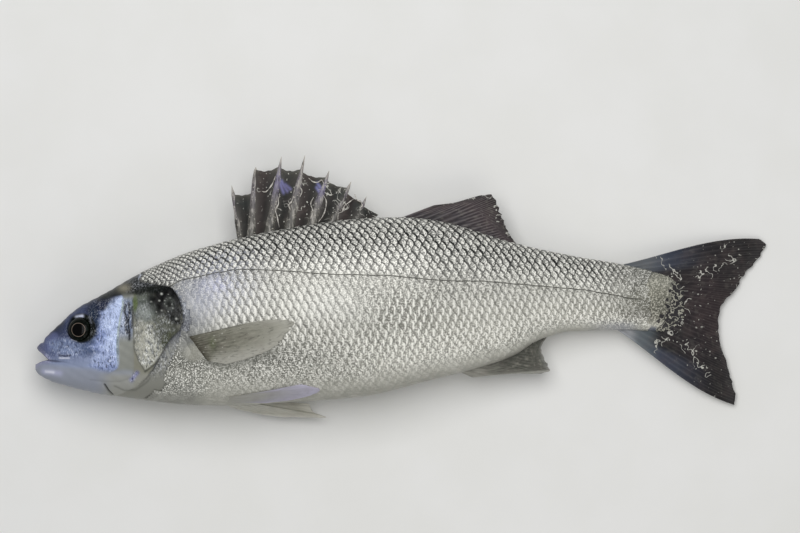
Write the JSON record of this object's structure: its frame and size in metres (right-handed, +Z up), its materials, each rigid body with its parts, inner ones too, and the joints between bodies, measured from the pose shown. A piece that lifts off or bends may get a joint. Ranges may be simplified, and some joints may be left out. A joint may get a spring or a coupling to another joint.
{
  "type": "whole european sea bass",
  "caption": "Whole raw sea bass lying on its flank, with spiny and soft dorsal fins, paired fins, forked tail, gill covers and eyes.",
  "frame": {"origin": "centre of the lying fish's bounding box, at the level of the surface that it lies on", "axes": "+X from the head to the tail, +Y from the belly to the back, +Z up, out of the fish's left flank"},
  "size_m": [0.45, 0.1617, 0.0585],
  "materials": {
    "fish_skin": "wet silvery scaled skin",
    "eye": "clear wet cornea over a black pupil"
  },
  "bodies": {
    "root": {"fish": "fish_skin", "eye_left": "eye", "eye_right": "eye"}
  },
  "joints": []
}
